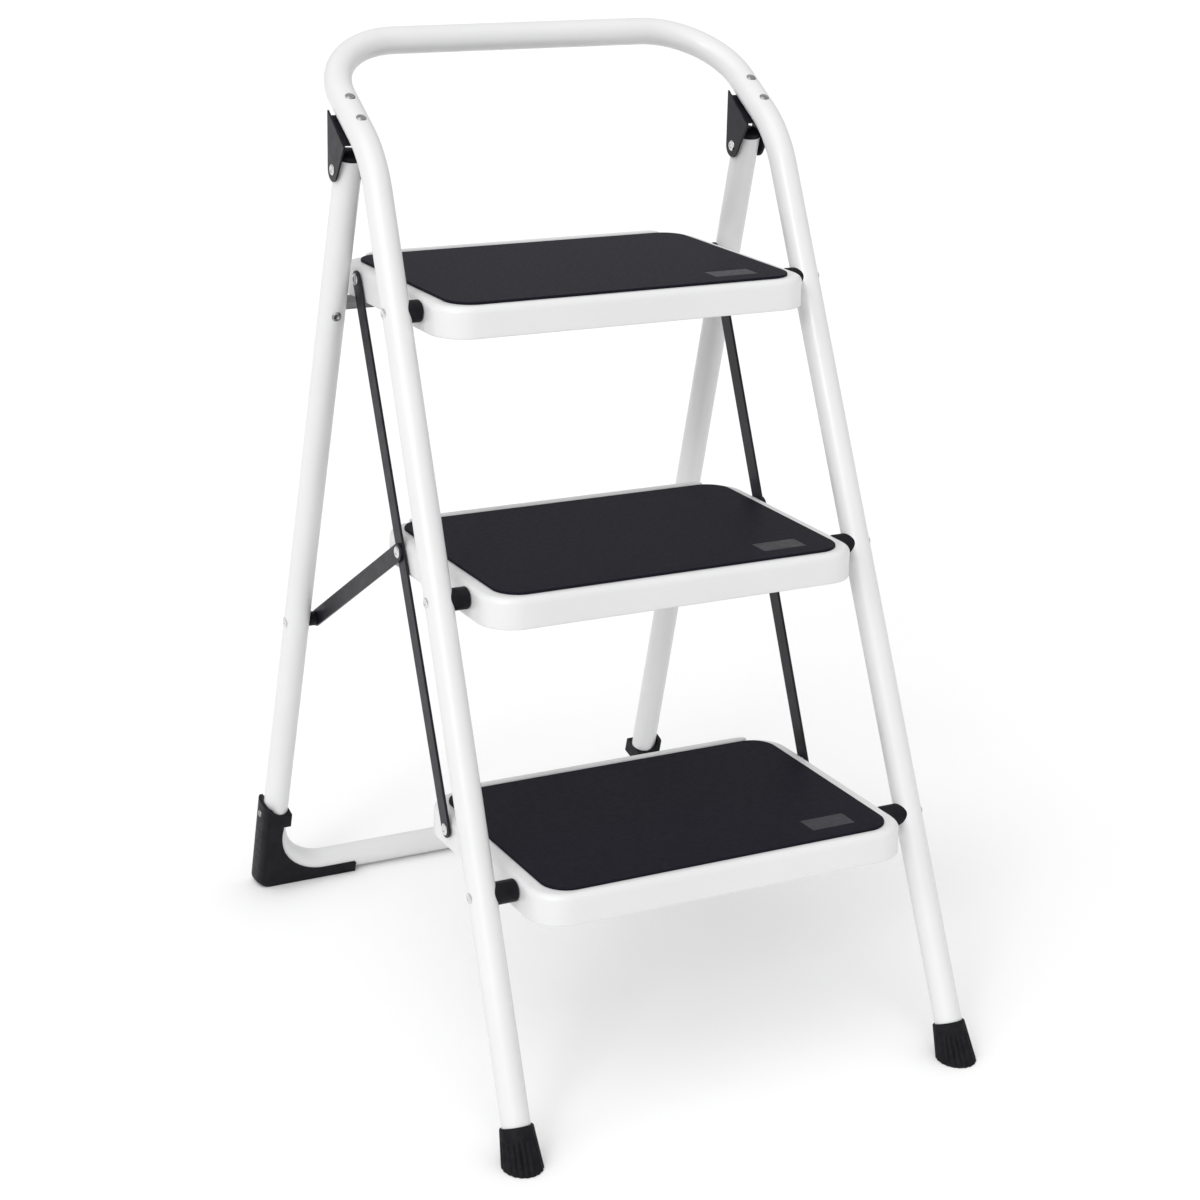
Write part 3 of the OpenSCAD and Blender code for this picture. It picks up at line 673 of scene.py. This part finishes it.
REAR_TOP = HINGE - REAR_DOWN * REAR_PAST_HINGE
BOOT_ARM_END, BOOT_SOLE_R, BOOT_EDGE, BOOT_CROWN = -32.0, 9.0, 1.2, 4
SCREW_UP, SCREW_R, SCREW_TOP = 16.0, 3.6, 1.6


def rear_frame():
    """Both rear legs and the floor bar, in one bent tube."""
    shape = tube(and_back([REAR_TOP, REAR_CORNER]), [REAR_R, REAR_R])
    put("rear_frame_tube", shape, WHITE, "rear_frame", "rear_tube")


def leg_plug():
    """A domed plug in the upper end of a rear leg."""
    stem_r, rim, dome = 11, 3.0, 5.0
    profile = [(stem_r, -6), (stem_r, 0.05), (TUBE_R - 0.5, 0.05), (TUBE_R, 0.5), (TUBE_R, rim)]
    profile += [(a, rim + b) for a, b in dome_profile(TUBE_R - 0.15, dome)]
    put_sides("plug", placed(lathe(profile), along(REAR_TOP, -REAR_DOWN)), PLASTIC,
              "rear_frame", "leg_plug")


def cross_bar():
    """The flat strip behind the rear legs, and its rivets."""
    at = rear_leg(hinge_z - CROSS_BAR_DOWN * cos_d(REAR_LEAN))
    middle = Vector((0, at.y, at.z))
    half, sink, back = at.x + CROSS_BAR_PAST, 0.4, TUBE_R + CROSS_BAR_T
    strip = extruded(rounded_rect(2 * half, CROSS_BAR_H, CROSS_BAR_CORNER), TUBE_R, back)
    strip = placed(strip, frame_at(middle, X_AXIS, -REAR_UP, REAR_BACK))
    put("cross_strip", strip, ZINC, "rear_frame", "cross_bar", bevel=0.5)
    front_head = reversed(ringed_profile(SMALL_HEAD_R, HEAD_H + sink))
    profile = [(a, sink - TUBE_R - b) for a, b in front_head]
    profile += [(SMALL_RIVET_R, -TUBE_R + 1), (SMALL_RIVET_R, back - 0.1)]
    profile += [(a, back + b) for a, b in dome_profile(SMALL_HEAD_R, HEAD_H)]
    heads = both_sides(placed(lathe(profile, 32), along(at, REAR_BACK)))
    put("cross_strip_rivets", heads, STEEL, "rear_frame", "cross_bar_rivets")


def inset_outline(points, d):
    """The outline moved inwards by d, for an outline that runs anticlockwise."""
    out = []
    before, after = points[-1:] + points[:-1], points[1:] + points[:1]
    for (ax, ay), (bx, by), (cx, cy) in zip(before, points, after):
        u = Vector((bx - ax, by - ay)).normalized()
        v = Vector((cx - bx, cy - by)).normalized()
        mitre = (Vector((-u.y, u.x)) + Vector((-v.y, v.x))) / max(0.3, 1 + u.dot(v))
        out.append((bx + d * mitre.x, by + d * mitre.y))
    return out


def boot_outline(low, out):
    """The boot seen from the front on the right: X outwards, Y up, about the bend's centre.

    low is the depth of the sole under that centre, and out the reach of the outer face.
    """
    sole_end = out - BOOT_SOLE_R
    points = [(BOOT_ARM_END, -low), (sole_end, -low)]
    points += arc(sole_end, -low + BOOT_SOLE_R, BOOT_SOLE_R, -90, 0, 8)[1:]
    # The horn at the top of the outer face, then the collar across the leg
    points += [(out, 29), (out - 3.4, 29), (out - 5.6, 25.5), (out - 8.5, 22.8)]
    points += [(out - 12, 21), (58, 19.8), (52, 19.4), (46, 19.2), (46, 4), (53.5, 4)]
    # The inside of the bend, down to the arm along the floor bar
    points += arc(2.6, -7.6, 51.5, 8.75, -86.5, 28)
    points += [(BOOT_ARM_END + 1.5, -59), (BOOT_ARM_END, -60.5)]
    return points


def boot_shell(centre):
    """Slices of the outline from back to front, with rounded faces and a level sole."""
    back = [(BOOT_EDGE - BOOT_EDGE * sin_d(a), -BOOT_HALF + BOOT_EDGE - BOOT_EDGE * cos_d(a))
            for a in quarter(5)]
    middle = [(0, z) for z in (-11, -8, -4, 0, 4, 8, 11)]
    front = [(inset, -z) for inset, z in reversed(back)]
    rings = []
    for inset, z in back + middle + front:
        low = (centre.z - z * REAR_BACK.z) / REAR_UP.z
        out = REAR_R + BOOT_HALF - BOOT_CROWN * (abs(z) / BOOT_HALF) ** 4
        outline = inset_outline(boot_outline(low, out), inset)
        rings.append([Vector((x, y, z)) for x, y in outline])
    return skin(rings)


def screw_cross():
    """Two crossed bars under the crown of a screw's head. Their ends stand just clear of it."""
    long, thin = 2, 0.3
    z0, z1 = SCREW_TOP - 0.35, SCREW_TOP - 0.08
    return joined(box(-long, long, -thin, thin, z0, z1), box(-thin, thin, -long, long, z0, z1))


def corner_boots():
    """The boots round the rear frame's two bends, and the screws in their outer faces."""
    centre = REAR_CORNER - REAR_R * X_AXIS + REAR_R * REAR_UP
    shape = placed(boot_shell(centre), frame_at(centre, X_AXIS, REAR_UP, -REAR_BACK))
    put_sides("boot", shape, PLASTIC, "rear_frame", "corner_boot")
    profile = [(1.8, -9), (1.8, 0), (SCREW_R, 0), (SCREW_R, 0.5), (0.86 * SCREW_R, 1.15)]
    profile += [(0.55 * SCREW_R, 1.5), (0, SCREW_TOP)]
    origin = centre + (REAR_R + BOOT_HALF) * X_AXIS + SCREW_UP * REAR_UP
    screw = placed(joined(lathe(profile, 40), screw_cross()), along(origin, X_AXIS))
    put("boot_screw_heads", both_sides(screw), STEEL, "rear_frame", "boot_screws")


# ---- Treads ----

DISH_DEEP, DISH_LONG, DISH_HIGH = 1.1, 13, 7
WALL_DEPTHS = (8, 10, 12, 14, 16, 19, 22, 25, 27)


def tray_ring(inset, z, i):
    """One level of a tread's skin. Its side walls dip in a little round the pivots."""
    w, d, r = TRAY_W - 2 * inset, TRAY_D - 2 * inset, max(TRAY_CORNER - inset, 1)
    centre = tray_centre(i)
    dish_y, dish_z = pivot(i).y - centre.y, -PIVOT_DROP
    ring = []
    for x, y in rounded_rect(w, d, r, corner=10, long_side=12, short_side=62):
        dip = 0.0
        if inset < 3 and abs(x) > TRAY_X - 4:
            off = -(((y - dish_y) / DISH_LONG) ** 2) - ((z - dish_z) / DISH_HIGH) ** 2
            dip = DISH_DEEP * math.exp(off)
        ring.append(centre + Vector((x - math.copysign(dip, x), y, z)))
    return ring


def tray_shell(i):
    """The pressed tread: deck, rounded edge, skirt and hem, then back up inside."""
    deck = [(60, 0), (14, 0)]
    outer, inner = [], []
    for a in quarter(8):
        for surface, r in ((outer, TRAY_EDGE), (inner, TRAY_EDGE - GAUGE)):
            surface.append((TRAY_EDGE - r * sin_d(a), r * cos_d(a) - TRAY_EDGE))
    hem = [(0.12, 0.4), (0.35, 0.1), (0.6, 0.0), (0.85, 0.1), (1.08, 0.4)]
    levels = deck + outer + [(0, -z) for z in WALL_DEPTHS]
    levels += [(inset, up - TRAY_H) for inset, up in hem]
    levels += [(GAUGE, -z) for z in reversed(WALL_DEPTHS)] + inner[::-1]
    levels += [(inset, -GAUGE) for inset, _ in reversed(deck)]
    return skin([tray_ring(inset, z, i) for inset, z in levels])


def rear_lip(i):
    """The rolled bead along the back of the deck."""
    half, r, up, sink, taper = TRAY_W / 2 - TRAY_CORNER, 3.0, 1.0, 0.4, 12.0
    c = tray_centre(i) + Vector((0, TRAY_D / 2 - r, up))
    ends = []
    for k in (1, 0.97, 0.9, 0.75, 0.5, 0.25, 0):
        ends.append((half - taper + k * (taper + r), r * math.sqrt(1 - k * k)))
    rings = []
    for x, s in [(-x, s) for x, s in ends] + ends[::-1]:
        rings.append([c + Vector((x, s * math.cos(t), max(s * math.sin(t), -up - sink)))
                      for t in turns(24)])
    return skin(rings)


def plate_outline(grow=0.0):
    """The blank plate's outline on its mat, or its pocket's with a gap to grow by."""
    points = rounded_rect(PLATE_W + 2 * grow, PLATE_D + 2 * grow, PLATE_CORNER + grow, corner=4)
    return [(x + PLATE_X, y - MAT_D / 2 + PLATE_FRONT + PLATE_D / 2) for x, y in points]


def mat_ring(i, inset, z):
    """One level of the mat on tread i."""
    w, d, r = MAT_W - 2 * inset, MAT_D - 2 * inset, MAT_CORNER - inset
    points = rounded_rect(w, d, r, corner=12, long_side=4, short_side=4)
    return [tray_centre(i) + Vector((x, y, z)) for x, y in points]


def mat_shape(i):
    """A rubber mat with a chamfered rim and a pocket for its plate."""
    levels = ((0.3, 0.02), (0, 0.3), (0, 1.7), (0.15, 2.0), (0.75, MAT_T))
    rings = [mat_ring(i, inset, z) for inset, z in levels]
    verts, faces = skin(rings, close=False)
    n = len(rings[0])
    faces.append(tuple(reversed(range(n))))
    top = list(range(len(verts) - n, len(verts)))
    pocket = plate_outline(POCKET_GAP)
    m = len(pocket)
    start = len(verts)
    for z in (MAT_T, MAT_T - POCKET_DEEP):
        verts += [tray_centre(i) + Vector((x, y, z)) for x, y in pocket]
    faces += ring_faces(start, start + m, m)
    faces.append(tuple(range(start + m, start + 2 * m)))
    faces += filled_between(verts, top, list(range(start, start + m)))
    return verts, faces


def filled_between(verts, outer, inner):
    """Triangles between an outer loop and a hole in it."""
    bm = bmesh.new()
    made = {i: bm.verts.new(verts[i]) for i in outer + inner}
    back = {v: i for i, v in made.items()}
    edges = []
    for loop in (outer, inner):
        for a, b in zip(loop, loop[1:] + loop[:1]):
            edges.append(bm.edges.new((made[a], made[b])))
    bmesh.ops.triangle_fill(bm, use_beauty=True, use_dissolve=False, edges=edges)
    faces = [tuple(back[v] for v in f.verts) for f in bm.faces]
    bm.free()
    return faces


def treads():
    """Each tread with its bead, mat, blank plate and bar rivets."""
    for i, step in enumerate(STEPS):
        body = f"{step}_step"
        tray = joined(tray_shell(i), rear_lip(i))
        put(f"{step}_tray", tray, WHITE, body, f"{step}_tread", smooth=50)
        put(f"{step}_tread_mat", mat_shape(i), RUBBER, body, f"{step}_mat", smooth=20)
        plate = extruded(plate_outline(), MAT_T - POCKET_DEEP, MAT_T - PLATE_SUNK)
        plate = placed(plate, Matrix.Translation(tray_centre(i)))
        put(f"{step}_blank_plate", plate, PLATE, body, f"{step}_mat_plate", bevel=0.15)
        arm_joint(i, body)


def middle_arm_pin(p):
    """The middle rivet. It has no outer head: the short link's own rivet goes on there."""
    length = BAR_X + LINK_T - TRAY_X + GAUGE
    profile = [(a, -b) for a, b in reversed(ringed_profile(ARM_HEAD_R, HEAD_H))]
    profile += [(PIN_R, 0.05), (PIN_R, length - 0.02), (2.6, length - 0.02)]
    return placed(lathe(profile, 32), along(Vector((TRAY_X - GAUGE, p.y, p.z)), X_AXIS))


def arm_joint(i, body):
    """The rivets and washers that hold the long bars to a tread."""
    p = arm_end(i)
    if i == MIDDLE:
        pin = middle_arm_pin(p)
    else:
        x1 = BAR_X + LINK_T + HEAD_GAP
        pin = rivet(TRAY_X - GAUGE, x1, p.y, p.z, PIN_R, ARM_HEAD_R, HEAD_H)
    put(f"{STEPS[i]}_arm_pins", both_sides(pin), BRIGHT, body, f"{STEPS[i]}_arm_rivets")
    edge = WASHER_R - 0.3
    profile = [(PIN_R, 0), (edge, 0), (WASHER_R, 0.25), (WASHER_R, WASHER_T - 0.25)]
    profile += [(edge, WASHER_T), (PIN_R, WASHER_T)]
    washer = placed(lathe(profile, 40), along(Vector((TRAY_X, p.y, p.z)), X_AXIS))
    put(f"{STEPS[i]}_washers", both_sides(washer), ZINC, body, f"{STEPS[i]}_arm_washers")


# ---- Links ----


def link(x, a, b, w):
    """A flat bar with round ends, from a to b in the plane x."""
    run = Vector((0, b.y - a.y, b.z - a.z))
    length = run.length
    outline = arc(0, 0, w / 2, 90, 270, 14) + arc(length, 0, w / 2, -90, 90, 14)
    run.normalize()
    up = X_AXIS.cross(run)
    at = frame_at(Vector((x, a.y, a.z)), run, up, X_AXIS)
    return placed(extruded(outline, 0, LINK_T), at)


def links():
    """The long bars and the short links, with the rivet at each short link's upper end."""
    bar = link(BAR_X, arm_end(0), arm_end(2), LINK_W)
    put_sides("long_bar", bar, BLACK, "SIDE_bar", "link_bar", bevel=0.55)
    p = arm_end(MIDDLE)
    stay = link(STAY_X, STAY_FOOT, p, LINK_W)
    put_sides("short_bar", stay, BLACK, "SIDE_short_link", "stay", bevel=0.55)
    profile = [(PIN_R, -LINK_T + 0.06), (PIN_R, 0)] + ringed_profile(ARM_HEAD_R, HEAD_H)
    head = placed(lathe(profile, 32), along(Vector((STAY_X + LINK_T, p.y, p.z)), X_AXIS))
    put_sides("short_bar_rivet", head, BRIGHT, "SIDE_short_link", "stay_rivet")


def stay_pivots():
    """The short links' pivots in the rear legs, and the bushes round them."""
    p = STAY_FOOT
    x0, x1 = STAY_X - HEAD_GAP, p.x + TUBE_R - PIVOT_SINK
    pin = rivet(x0, x1, p.y, p.z, PIN_R, PIVOT_HEAD_R, HEAD_H, PIVOT_OUTER_H)
    put_sides("short_bar_pivot", pin, BRIGHT, "rear_frame", "stay_pivot")
    bore_r, bush_r = 3.2, 7
    start = STAY_X + LINK_T + SIDE_GAP
    length = p.x - INTO_TUBE - start
    profile = [(bore_r, 0), (6.4, 0), (bush_r, 0.5), (bush_r, length), (bore_r, length)]
    bush = placed(lathe(profile, 40), along(Vector((start, p.y, p.z)), X_AXIS))
    put_sides("short_bar_bush", bush, PLASTIC, "rear_frame", "stay_bush")


# ---- Camera, floor and light: metres from here on ----

CAMERA_AT = Vector((-1.0628, -2.0457, 1.1466))
CAMERA_YAW, CAMERA_PITCH, CAMERA_ROLL = 27.53, 16.42, 1.13
FLOOR_HALF = 40


def camera():
    """Stands where the photographer stood: in front, to the left and a little above."""
    yaw, pitch, roll = CAMERA_YAW, CAMERA_PITCH, CAMERA_ROLL
    forward = Vector((sin_d(yaw) * cos_d(pitch), cos_d(yaw) * cos_d(pitch), -sin_d(pitch)))
    right = Vector((cos_d(yaw), -sin_d(yaw), 0))
    up = right.cross(forward)
    turned = cos_d(roll) * right + sin_d(roll) * up
    upright = cos_d(roll) * up - sin_d(roll) * right
    data = bpy.data.cameras.new("camera")
    data.lens, data.sensor_width, data.shift_y = 78.27, 36.0, -0.08
    data.clip_start, data.clip_end = 0.05, 100
    cam = bpy.data.objects.new("camera", data)
    cam.matrix_world = frame_at(CAMERA_AT, turned, upright, -forward)
    bpy.context.collection.objects.link(cam)
    bpy.context.scene.camera = cam


def floor():
    """A plain pale floor, slightly uneven in tone and gloss."""
    mesh = bpy.data.meshes.new("floor")
    h = FLOOR_HALF
    mesh.from_pydata([(-h, -h, 0), (h, -h, 0), (h, h, 0), (-h, h, 0)], [], [(0, 1, 2, 3)])
    look = Look("pale_floor", Specular_IOR_Level=0.2)
    look.colour(look.noise(0.8, 2), (0.955, 0.955, 0.955), (0.965, 0.965, 0.965))
    look.roughness(look.noise(3, 2), 0.6, 0.7)
    mesh.materials.append(look.material)
    plane = bpy.data.objects.new("floor", mesh)
    bpy.context.collection.objects.link(plane)


def soft_sun(name, direction, strength, spread):
    """A sun that shines along the direction, as wide as the angle spread."""
    data = bpy.data.lights.new(name, "SUN")
    data.energy = strength
    data.angle = math.radians(spread)
    lamp = bpy.data.objects.new(name, data)
    lamp.rotation_euler = Vector(direction).to_track_quat("-Z", "Y").to_euler()
    bpy.context.collection.objects.link(lamp)


def lighting():
    """An even white studio with a wide soft key from the front left."""
    world = bpy.data.worlds.new("studio")
    world.use_nodes = True
    sky = world.node_tree.nodes["Background"]
    sky.inputs["Color"].default_value = (1.0, 1.0, 1.0, 1)
    sky.inputs["Strength"].default_value = 0.64
    bpy.context.scene.world = world
    soft_sun("key", (1.0, 0.75, -1.3), strength=1.35, spread=70)
    soft_sun("top", (-0.1, -0.2, -1.0), strength=0.35, spread=100)
    soft_sun("glint", (1.0, 0.9, -0.7), strength=0.45, spread=14)
    bpy.context.scene.view_settings.view_transform = "Standard"


camera()
floor()
lighting()
front_frame()
foot_cap()
hinge_bracket()
bracket_rivets()
hinge_pins()
for tread in range(len(STEPS)):
    step_pivots(tread)
rear_frame()
leg_plug()
cross_bar()
corner_boots()
treads()
links()
stay_pivots()
